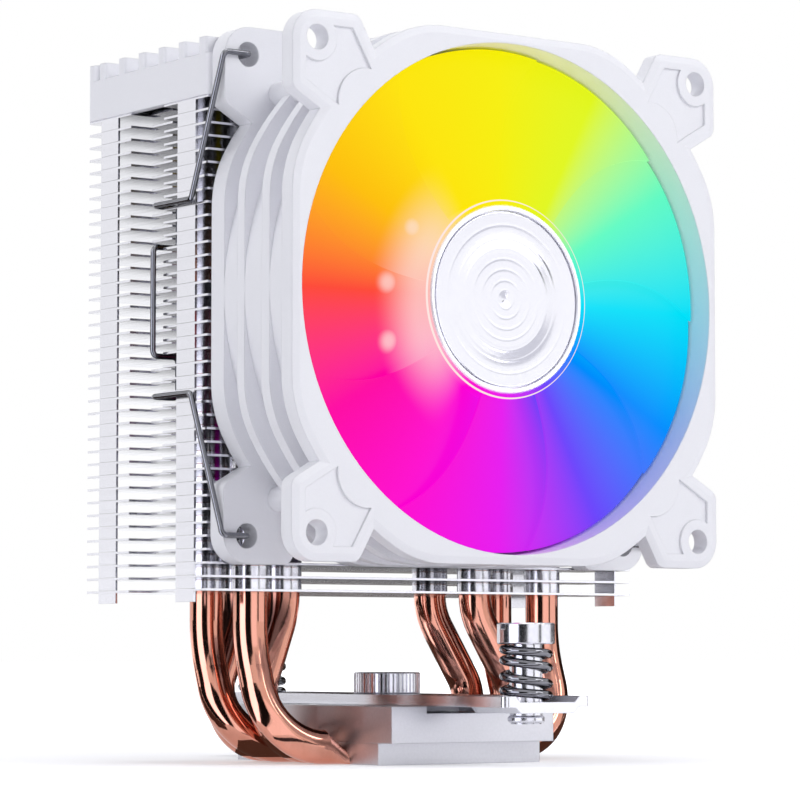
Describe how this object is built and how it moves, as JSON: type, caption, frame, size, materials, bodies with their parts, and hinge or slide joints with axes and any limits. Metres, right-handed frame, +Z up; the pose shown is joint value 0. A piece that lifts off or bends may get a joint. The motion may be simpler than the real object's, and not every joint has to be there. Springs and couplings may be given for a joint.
{
  "type": "cpu tower cooler",
  "caption": "Tower cooler for a processor: fin stack on bent copper pipes over a flat base, with a wire-clipped light-up fan and a bar with sprung nuts.",
  "frame": {"origin": "middle of the base's contact face", "axes": "+Z up, away from the processor; +Y with the air, from the fan through the fins; +X along the fins' width"},
  "size_m": [0.0966, 0.0936, 0.1264],
  "materials": {
    "milled_aluminium": "fine milled, bare",
    "fin_aluminium": "bare rolled sheet",
    "copper": "polished copper tube",
    "winding_copper": "enamelled copper wire",
    "white_plastic": "moulded, satin",
    "plated_steel": "bright nickel plate",
    "spring_steel": "drawn wire, nickel plate",
    "clip_steel": "drawn spring-steel wire",
    "frosted_plastic": "frosted translucent moulding lit from the hub",
    "hub_white": "gloss white with fine turned rings",
    "turned_brass": "turned",
    "dark_plastic": "moulded",
    "keeper_plastic": "cut nylon sheet",
    "board_laminate": "green solder mask",
    "led_resin": "clear resin over a white case",
    "core_steel": "stacked laminations",
    "cup_steel": "drawn sheet steel",
    "magnet": "bonded ferrite",
    "ground_steel": "ground"
  },
  "bodies": {
    "heatsink": {"base_plate": "milled_aluminium", "clamp_block": "milled_aluminium", "heat_pipe_1": "copper", "heat_pipe_2": "copper", "heat_pipe_3": "copper", "heat_pipe_4": "copper", "cooling_fins": "fin_aluminium", "top_cover": "white_plastic", "mounting_bar": "plated_steel", "bar_stud": "plated_steel", "spring_front": "spring_steel", "spring_rear": "spring_steel", "fan_frame": "white_plastic", "bearing_tube": "turned_brass", "sleeve_bearing": "turned_brass", "bearing_end_cap": "dark_plastic", "circuit_board": "board_laminate", "led_chips": "led_resin", "stator_core": "core_steel", "stator_coils": "winding_copper"},
    "fan_rotor": {"impeller": "frosted_plastic", "hub_cap_disc": "hub_white", "hub_trim_ring": "hub_white", "rotor_cup": "cup_steel", "magnet_ring": "magnet", "rotor_shaft": "ground_steel", "keeper_washer": "keeper_plastic"},
    "bar_nut": {"thumb_nut": "plated_steel"},
    "front_ring": {"retaining_ring_front": "plated_steel"},
    "front_nut": {"spring_nut_front": "plated_steel"},
    "rear_ring": {"retaining_ring_rear": "plated_steel"},
    "rear_nut": {"spring_nut_rear": "plated_steel"},
    "left_clip": {"clip_left": "clip_steel"},
    "right_clip": {"clip_right": "clip_steel"}
  },
  "joints": [
    {"name": "fan_spin", "type": "hinge", "parent": "heatsink", "child": "fan_rotor", "pos_m": [0, -0.0253, 0.08035], "axis": [0, 1, 0], "continuous": true},
    {"name": "thumb_nut_turn", "type": "hinge", "parent": "heatsink", "child": "bar_nut", "pos_m": [0, 0, 0.0139], "axis": [0, 0, 1], "continuous": true},
    {"name": "front_nut_press", "type": "slide", "parent": "heatsink", "child": "front_ring", "axis": [0, 0, -1], "range_m": [0, 0.003], "stiffness_N_per_m": 600, "springref_m": -0.003, "deforming": ["spring_front"]},
    {"name": "front_nut_turn", "type": "hinge", "parent": "front_ring", "child": "front_nut", "pos_m": [0, -0.04075, 0.0159], "axis": [0, 0, 1], "continuous": true},
    {"name": "rear_nut_press", "type": "slide", "parent": "heatsink", "child": "rear_ring", "axis": [0, 0, -1], "range_m": [0, 0.003], "stiffness_N_per_m": 600, "springref_m": -0.003, "deforming": ["spring_rear"]},
    {"name": "rear_nut_turn", "type": "hinge", "parent": "rear_ring", "child": "rear_nut", "pos_m": [0, 0.04075, 0.0159], "axis": [0, 0, 1], "continuous": true},
    {"name": "left_clip_swing", "type": "hinge", "parent": "heatsink", "child": "left_clip", "pos_m": [-0.04125, -0.016, 0.08035], "axis": [0, 0, 1], "range_deg": [0, 25], "stiffness_Nm_per_rad": 0.02},
    {"name": "right_clip_swing", "type": "hinge", "parent": "heatsink", "child": "right_clip", "pos_m": [0.04125, -0.016, 0.08035], "axis": [0, 0, -1], "range_deg": [0, 25], "stiffness_Nm_per_rad": 0.02}
  ]
}
